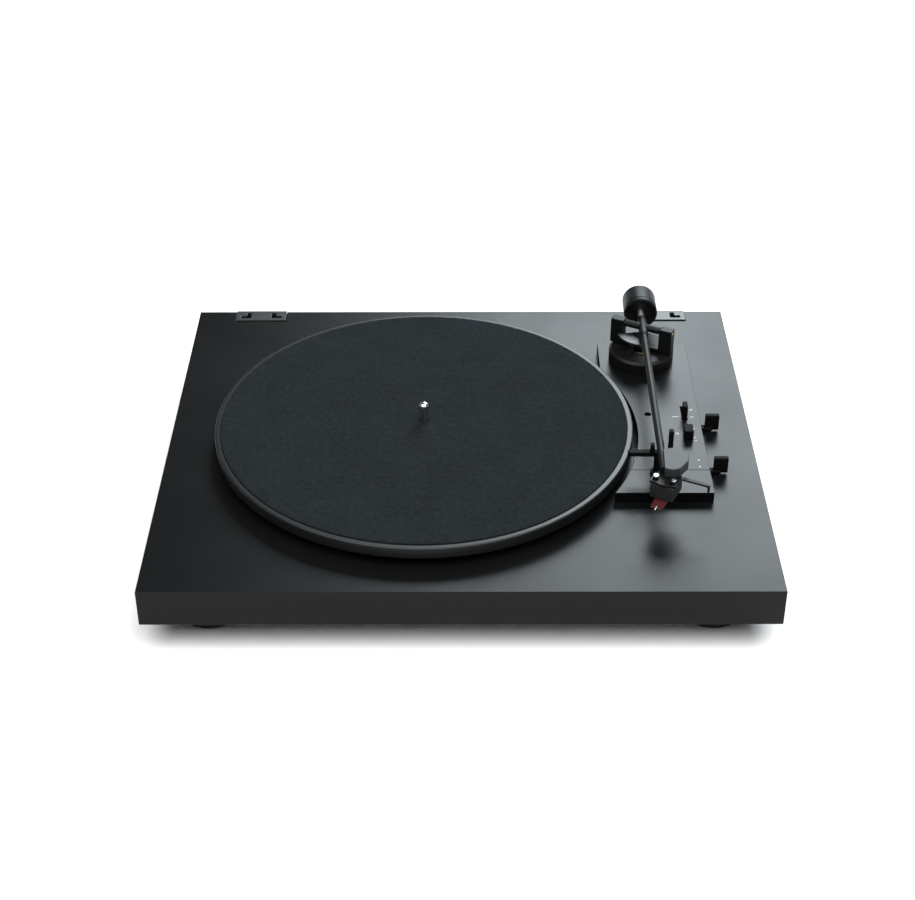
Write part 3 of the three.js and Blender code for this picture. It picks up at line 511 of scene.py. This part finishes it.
board_paint = grained("board_paint", PAINT_COLOUR, 0.31, 0.0006, 0.00003, **PAINT_SHINE)
white_print = grained("white_print", PRINT_COLOUR, 0.6, 0.0004, 0.000005, tone=0.1)
dress("arm_board", board_paint, BOARD_EDGE)
dress("arm_board_front", board_paint, BOARD_EDGE)
dress("chassis_plate", zinc_plate, 0.0004)
board_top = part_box("arm_board")[1].z


def printed(name, solid, x, y):
    """A mark of white ink on the board's top."""
    place = Matrix.Translation((x, y, board_top))
    return settle(name, solid, white_print, place=place)


for figures, x, y in SPEED_FIGURES:
    outline = bpy.data.curves.new(f"figures_{figures}", "FONT")
    outline.body, outline.size, outline.extrude = figures, FIGURE_HIGH, PRINT_THICK / 2
    outline.resolution_u = 3
    letters = bpy.data.objects.new(f"figures_{figures}", outline)
    scene.collection.objects.link(letters)
    bpy.context.view_layer.update()
    solid = bmesh.new()
    solid.from_mesh(letters.evaluated_get(bpy.context.evaluated_depsgraph_get()).to_mesh())
    bmesh.ops.remove_doubles(solid, verts=solid.verts, dist=1e-7)
    bmesh.ops.translate(solid, verts=solid.verts, vec=(0, 0, PRINT_THICK / 2))
    bpy.data.objects.remove(letters)
    printed(f"printed_{figures}", solid, x, y)

for i, (x, y) in enumerate(DOTS):
    dot = [(0, 0), (DOT_RADIUS, 0), (DOT_RADIUS, PRINT_THICK), (0, PRINT_THICK)]
    printed(f"printed_dot_{i + 1}", turned(dot, 24), x, y)


def prism(points, low, high):
    """A closed solid from a flat outline, between two heights."""
    solid = bmesh.new()
    foot = [solid.verts.new((x, y, low)) for x, y in points]
    head = [solid.verts.new((x, y, high)) for x, y in points]
    solid.faces.new(list(reversed(foot)))
    solid.faces.new(head)
    for i in range(len(points)):
        solid.faces.new((foot[i - 1], foot[i], head[i], head[i - 1]))
    bmesh.ops.recalc_face_normals(solid, faces=solid.faces)
    return solid


for i, (x, y, long, wide) in enumerate(BARS):
    corners = [(0, 0), (long, 0), (long, wide), (0, wide)]
    printed(f"printed_bar_{i + 1}", prism(corners, 0, PRINT_THICK), x, y)
ring = [(RING_INNER, 0), (RING_OUTER, 0), (RING_OUTER, PRINT_THICK), (RING_INNER, PRINT_THICK)]
printed("printed_ring", turned(ring, 32), *RING_AT)

# ---- Levers and selectors ----
# Moulded black levers: two paddles at the board's side for the lift and the start, turning on
# steel posts, and two sliding selectors for the speed and the size of the record.
DULL_COLOUR = (0.0032, 0.0033, 0.0035)
DULL_SHINE = {"Specular IOR Level": 0.06}
dull_plastic = grained("dull_plastic", DULL_COLOUR, 0.58, 0.0005, 0.00003, **DULL_SHINE)
for name in ("lift_lever", "start_lever"):
    dress(name, dull_plastic, 0.0006, 3)
    dress(f"{name}_post", steel, 0.0002)
for name in ("speed_selector", "size_selector"):
    dress(name, dull_plastic, 0.0005, 3)

# ---- Tonearm base and lift platform ----
# A low ring of black-anodised aluminium with a broken top edge, on the brass bush that the arm
# turns in. A moulded shelf rises out of it to lift the arm.
ANODISED_COLOUR = (0.0040, 0.0042, 0.0046)
ANODISED_SHINE = {"Specular IOR Level": 0.18}
BASE_BORE_CLEAR = 0.0003
BASE_CHAMFER = 0.0018
STEM_OUT, STEM_TURN = 0.013, math.radians(42.0)
STEM_HOLE, STEM_PAST = 0.00215, 0.001


def brushed_black(name, colour, roughness):
    """Black-anodised aluminium: a soft sheen, with the drawing marks just showing."""
    finish = Finish(name, colour, roughness, **ANODISED_SHINE)
    along = finish.stretched((2500.0, 120.0, 2500.0))
    marks = finish.node("ShaderNodeTexNoise", None, {"Vector": along, "Scale": 1.0, "Detail": 2.0})
    fine = finish.cloudy(0.0004)
    mixed = marks * 0.6 + fine * 0.4
    finish.feed(
        finish.shader,
        {
            "Base Color": finish.tinted(mixed, 0.7, 1.35),
            "Roughness": roughness - 0.07 + mixed * 0.14,
        },
    )
    finish.relief(mixed, 0.000012)
    return finish.material


black_metal = brushed_black("black_metal", ANODISED_COLOUR, 0.46)
low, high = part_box("arm_base")
radius = (high.x - low.x) / 2
bush_low, bush_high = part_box("arm_bearing_bush")
bore = (bush_high.x - bush_low.x) / 2 + BASE_BORE_CLEAR
ring = [(bore, low.z), (radius, low.z), (radius, high.z - BASE_CHAMFER)]
ring += [(radius - BASE_CHAMFER, high.z), (bore, high.z)]


def combined(solid, *others, how="DIFFERENCE"):
    """One solid with others cut from it, or joined to it."""
    shapes = []
    for shape in (solid, *others):
        mesh = bpy.data.meshes.new("shape")
        shape.to_mesh(mesh)
        shape.free()
        shapes.append(bpy.data.objects.new("shape", mesh))
        scene.collection.objects.link(shapes[-1])
    for other in shapes[1:]:
        step = shapes[0].modifiers.new("step", "BOOLEAN")
        step.object, step.operation, step.solver = other, how, "EXACT"
    result = bmesh.new()
    result.from_object(shapes[0], bpy.context.evaluated_depsgraph_get())
    for shape in shapes:
        bpy.data.objects.remove(shape)
    return result


base_ring = turned(ring, 144)
base_ring.transform(middle("arm_base"))
towards_stem = Vector((-math.sin(STEM_TURN), -math.cos(STEM_TURN), 0.0))
stem_at = (low + high) / 2 + towards_stem * STEM_OUT
under, over = low.z - STEM_PAST, high.z + STEM_PAST
stem_hole = turned([(0, under), (STEM_HOLE, under), (STEM_HOLE, over), (0, over)], 32)
stem_hole.transform(Matrix.Translation((stem_at.x, stem_at.y, 0.0)))
settle(
    "arm_base_ring",
    combined(base_ring, stem_hole),
    black_metal,
    nodes=["arm_base"],
    edge=0.0003,
)
dress("arm_bearing_bush", brass, 0.0003)
dress("lift_platform", black_plastic, 0.0004)

# ---- Yoke, pins and sleeve ----
# The yoke turns on a steel post and holds the arm between two cheeks. A pair of brass pins
# carries the cross tube, one casting with the sleeve that the arm tube fits in. The sleeve is
# drawn 0.2 mm slimmer than its solid, so the raised lift platform stays clear of it.
ARM_LEAN = math.radians(0.5)
HEAD_OFFSET = math.radians(26.5)
SLEEVE_RADIUS, SLEEVE_BORE = 0.0034, 0.0030
SLEEVE_FRONT, SLEEVE_REAR = -0.014, 0.012
SLEEVE_FLOORS = (-0.005, 0.004)
SLEEVE_GROOVE = (-0.0125, -0.0117, 0.0003)
SLEEVE_ROUND = 0.0003
CROSS_RADIUS, CROSS_END, SEAT_RADIUS, SEAT_DEEP = 0.0028, 0.01445, 0.00155, 0.004

pivot = Vector(next(j["pos_m"] for j in frame["joints"] if j["name"] == "arm_pitch"))
arm_place = Matrix.Translation(pivot) @ Matrix.Rotation(-ARM_LEAN, 4, "Z")
lying = Matrix.Rotation(math.radians(-90.0), 4, "X")
dress("arm_yoke", black_metal, 0.0007, 3)
dress("arm_post", steel, 0.0003)
for side in ("left", "right"):
    dress(f"pivot_pin_{side}", brass, 0.0002)

front, rear, r = SLEEVE_FRONT, SLEEVE_REAR, SLEEVE_RADIUS
groove_a, groove_b, groove_deep = SLEEVE_GROOVE
sleeve = [
    (0.0, SLEEVE_FLOORS[0]),
    (SLEEVE_BORE, SLEEVE_FLOORS[0]),
    (SLEEVE_BORE, front),
    (r - SLEEVE_ROUND, front),
    (r, front + SLEEVE_ROUND),
    (r, groove_a),
    (r - groove_deep, groove_a),
    (r - groove_deep, groove_b),
    (r, groove_b),
    (r, rear - SLEEVE_ROUND),
    (r - SLEEVE_ROUND, rear),
    (SLEEVE_BORE, rear),
    (SLEEVE_BORE, SLEEVE_FLOORS[1]),
    (0.0, SLEEVE_FLOORS[1]),
]
cross = [
    (0.0, -CROSS_END + SEAT_DEEP),
    (SEAT_RADIUS, -CROSS_END + SEAT_DEEP),
    (SEAT_RADIUS, -CROSS_END),
    (CROSS_RADIUS, -CROSS_END),
    (CROSS_RADIUS, CROSS_END),
    (SEAT_RADIUS, CROSS_END),
    (SEAT_RADIUS, CROSS_END - SEAT_DEEP),
    (0.0, CROSS_END - SEAT_DEEP),
]
sleeve_solid = turned(sleeve, 64)
sleeve_solid.transform(lying)
cross_solid = turned(cross, 64)
along_x = Matrix.Rotation(math.radians(90.0), 4, "Y")
cross_solid.transform(Matrix.Rotation(-HEAD_OFFSET, 4, "Z") @ along_x)
settle(
    "cast_sleeve",
    combined(sleeve_solid, cross_solid, how="UNION"),
    black_metal,
    "tonearm",
    ["arm_sleeve"],
    arm_place,
)

# ---- Arm tube, stub and counterweight ----
# A straight black aluminium tube, a threaded steel stub behind the sleeve, and a turned
# counterweight with a groove near its front, a dished face and a well-rounded back edge.
TUBE_RADIUS, TUBE_FROM, TUBE_TO, TUBE_ROUND = 0.0027, -0.1913, -0.0053, 0.0004
STUB_FROM, STUB_TO = 0.0043, 0.0553
THREAD_PITCH, THREAD_DEEP = 0.0008, 0.00015
WEIGHT_FROM, WEIGHT_TO, WEIGHT_RADIUS, WEIGHT_BORE = 0.020, 0.044, 0.013, 0.00285
WEIGHT_BACK_ROUND, WEIGHT_FRONT_ROUND, WEIGHT_STEPS = 0.0026, 0.0008, 7
WEIGHT_DISH, WEIGHT_DISH_RADIUS, WEIGHT_FACE = 0.003, 0.010, 0.011
WEIGHT_GROOVE = (0.024, 0.025, 0.0008)


def arm_turned(name, profile, finish, body, node, sides=64):
    """A piece turned about the arm's own axis, given in distances behind the pivot."""
    return settle(name, turned(profile, sides), finish, body, [node], arm_place @ lying)


tube = [(0.0, TUBE_FROM), (TUBE_RADIUS - TUBE_ROUND, TUBE_FROM)]
tube += [(TUBE_RADIUS, TUBE_FROM + TUBE_ROUND), (TUBE_RADIUS, TUBE_TO), (0.0, TUBE_TO)]
arm_turned("drawn_tube", tube, black_metal, "tonearm", "arm_tube")

stub = [(0.0, STUB_FROM)]
for i in range(int((STUB_TO - STUB_FROM) / THREAD_PITCH)):
    y = STUB_FROM + i * THREAD_PITCH
    stub += [(TUBE_RADIUS - THREAD_DEEP, y), (TUBE_RADIUS, y + THREAD_PITCH / 2)]
stub += [(TUBE_RADIUS - THREAD_DEEP, STUB_TO), (0.0, STUB_TO)]
arm_turned("threaded_stub", stub, steel, "tonearm", "counterweight_stub", 48)

a, b, deep = WEIGHT_GROOVE
r, back = WEIGHT_RADIUS, WEIGHT_BACK_ROUND
weight = [
    (WEIGHT_BORE, WEIGHT_FROM + WEIGHT_DISH),
    (WEIGHT_DISH_RADIUS, WEIGHT_FROM + WEIGHT_DISH),
    (WEIGHT_FACE, WEIGHT_FROM),
    (r - WEIGHT_FRONT_ROUND, WEIGHT_FROM),
    (r - WEIGHT_FRONT_ROUND * 0.3, WEIGHT_FROM + WEIGHT_FRONT_ROUND * 0.3),
    (r, WEIGHT_FROM + WEIGHT_FRONT_ROUND),
    (r, a),
    (r - deep, a),
    (r - deep, b),
    (r, b),
]
for i in range(WEIGHT_STEPS + 1):
    angle = math.pi / 2 * i / WEIGHT_STEPS
    weight.append((r - back * (1 - math.cos(angle)), WEIGHT_TO - back * (1 - math.sin(angle))))
weight.append((WEIGHT_BORE, WEIGHT_TO))
arm_turned(
    "turned_weight", weight, black_metal, "counterweight", "counterweight", 144
)

# ---- Headshell, cap and finger lift ----
# A black plate with two slots for the cartridge's screws, a cap over the tube's end painted lighter
# to stand in for the light its top reflects, and a thin tapered finger lift whose tip is bent down.
HEAD_TO_SCREWS = 0.1992
SHELL_OUTLINE = (
    (-0.0092, -0.0046),
    (0.0, -0.0062),
    (0.0098, -0.0042),
    (0.0098, 0.0064),
    (0.0052, 0.0108),
    (-0.0052, 0.0108),
    (-0.0098, 0.0040),
)
SCREW_ACROSS = 0.0127
SLOT_HALF, SLOT_FRONT, SLOT_BACK = 0.0016, -0.0024, 0.0030
SLOT_PAST, SLOT_STEPS = 0.001, 24
# Painted reflection: the cap is the same black metal, drawn lighter to stand in for the light on its
# top.
CAP_PAINTED_REFLECTION = (0.020, 0.021, 0.0225)
FINGER_FROM, FINGER_OUT, FINGER_AHEAD = 0.0105, 0.030, 0.0095
FINGER_ROOT, FINGER_TIP, FINGER_THICK, FINGER_HOOK = 0.0034, 0.0024, 0.0014, 0.0055

head_place = (
    arm_place
    @ Matrix.Translation((0.0, -HEAD_TO_SCREWS, 0.0))
    @ Matrix.Rotation(-HEAD_OFFSET, 4, "Z")
)
shell_low, shell_high = (corner.z - pivot.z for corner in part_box("headshell"))


def slot_through(x):
    """A round-ended slot about one screw, cut right through the plate."""
    points = []
    for i in range(SLOT_STEPS):
        turn = 2 * math.pi * i / SLOT_STEPS
        y = SLOT_BACK if math.sin(turn) >= 0 else SLOT_FRONT
        points.append((x + SLOT_HALF * math.cos(turn), y + SLOT_HALF * math.sin(turn)))
    return prism(points, shell_low - SLOT_PAST, shell_high + SLOT_PAST)


plate = prism(SHELL_OUTLINE, shell_low, shell_high)
slots = [slot_through(side * SCREW_ACROSS / 2) for side in (-1, 1)]
settle(
    "slotted_headshell",
    combined(plate, *slots),
    black_metal,
    "tonearm",
    ["headshell"],
    head_place,
    0.00025,
)
# The cap's lighter colour is a painted reflection of the light on its top.
painted_reflection_cap = brushed_black("painted_reflection_cap", CAP_PAINTED_REFLECTION, 0.4)
dress("headshell_cap", painted_reflection_cap, 0.0005, 3)

root, out = FINGER_FROM, FINGER_OUT
y = FINGER_AHEAD
blade = prism(
    [
        (root, y - FINGER_ROOT),
        (out, y - (FINGER_ROOT + FINGER_TIP) / 2),
        (out, y - (FINGER_ROOT - FINGER_TIP) / 2),
        (root, y),
    ],
    shell_high - FINGER_THICK,
    shell_high,
)
hook = prism(
    [
        (out - FINGER_THICK, y - (FINGER_ROOT + FINGER_TIP) / 2),
        (out, y - (FINGER_ROOT + FINGER_TIP) / 2),
        (out, y - (FINGER_ROOT - FINGER_TIP) / 2),
        (out - FINGER_THICK, y - (FINGER_ROOT - FINGER_TIP) / 2),
    ],
    shell_high - FINGER_HOOK,
    shell_high - FINGER_THICK / 2,
)
settle(
    "tapered_finger_lift",
    combined(blade, hook, how="UNION"),
    black_metal,
    "tonearm",
    ["finger_lift"],
    head_place,
    0.0003,
)

# ---- Cartridge and stylus ----
# A moulded cartridge body held by two steel socket-head screws. The dark red stylus holder
# plugs in below and carries a thin bright cantilever with the diamond at its end.
STYLUS_COLOUR = (0.045, 0.003, 0.0035)
SCREW_COLOUR = (0.34, 0.35, 0.36)
CANTILEVER_RADIUS, CANTILEVER_LONG, CANTILEVER_DIP = 0.0003, 0.0042, math.radians(14.0)
CANTILEVER_AT, CANTILEVER_UP = (0.0, -0.0112), 0.0022
stylus_red = grained(
    "stylus_red", STYLUS_COLOUR, 0.3, 0.001, 0.00001, tone=0.15, **{"Coat Weight": 0.4}
)
screw_steel = machined("screw_steel", SCREW_COLOUR, 0.26, 0.0005)
dress("cartridge", black_plastic, 0.0006, 3)
for side in ("left", "right"):
    dress(f"cartridge_screw_{side}", screw_steel, 0.00025)
dress("stylus_holder", stylus_red, 0.0005, 3)

holder_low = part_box("stylus_holder")[0].z - pivot.z
cantilever = turned(
    [
        (0.0, 0.0),
        (CANTILEVER_RADIUS, 0.0),
        (CANTILEVER_RADIUS, CANTILEVER_LONG),
        (CANTILEVER_RADIUS / 2, CANTILEVER_LONG + CANTILEVER_RADIUS),
        (0.0, CANTILEVER_LONG + CANTILEVER_RADIUS),
    ],
    24,
)
aim = Matrix.Translation((*CANTILEVER_AT, holder_low + CANTILEVER_UP)) @ Matrix.Rotation(
    math.radians(90.0) + CANTILEVER_DIP, 4, "X"
)
settle("cantilever", cantilever, chrome, "stylus", place=head_place @ aim)

# ---- Arm rest ----
# One black moulding: a post on a round foot, a bar, a low nib and a tall prong that the arm's
# tube lies between.
dress("arm_rest", dull_plastic, 0.0005, 3)

# ---- Rear sockets and circuit board ----
# Turned phono sockets with a white and a red band, an earth terminal and a power inlet stand on
# a black plate let into the back. The amplifier's green circuit board lies behind it.
BAND_COLOURS = {"left": (0.62, 0.61, 0.58), "right": (0.32, 0.02, 0.02)}
BAND_RADIUS, BAND_INSIDE, BAND_WIDE, BAND_FROM_END = 0.0052, 0.00425, 0.0018, 0.0034
MASK_COLOUR, TRACK_COLOUR = (0.012, 0.085, 0.040), (0.03, 0.16, 0.07)
dress("socket_panel", black_metal, 0.0003)
dress("phono_socket_left", steel, 0.0003)
dress("phono_socket_right", brass, 0.0003)
dress("ground_terminal", steel, 0.0003)
dress("power_inlet", black_plastic, 0.0003)
for side, colour in BAND_COLOURS.items():
    low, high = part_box(f"phono_socket_{side}")
    start = high.y - BAND_FROM_END
    band = [
        (BAND_INSIDE, start),
        (BAND_RADIUS, start),
        (BAND_RADIUS, start + BAND_WIDE),
        (BAND_INSIDE, start + BAND_WIDE),
    ]
    ink = grained(f"band_{side}", colour, 0.45, 0.0008, 0.00001, tone=0.08)
    place = Matrix.Translation(((low.x + high.x) / 2, 0.0, (low.z + high.z) / 2)) @ lying
    settle(f"phono_band_{side}", turned(band, 48), ink, place=place, edge=0.0002)


def solder_mask():
    finish = Finish("circuit_green", MASK_COLOUR, 0.35)
    cells = {"Vector": finish.place, "Scale": 260.0, "Randomness": 0.35}
    tracks = finish.node(
        "ShaderNodeTexVoronoi", {"distance": "MANHATTAN", "feature": "F1"}, cells, "Distance"
    )
    ends = {"stops": [(0.42, MASK_COLOUR), (0.5, TRACK_COLOUR)]}
    finish.feed(
        finish.shader,
        {
            "Base Color": finish.node("ShaderNodeValToRGB", ends, {"Fac": tracks}),
            "Roughness": 0.3 + tracks * 0.1,
        },
    )
    finish.relief(tracks, 0.00002)
    return finish.material


dress("circuit_board", solder_mask(), 0.0002)
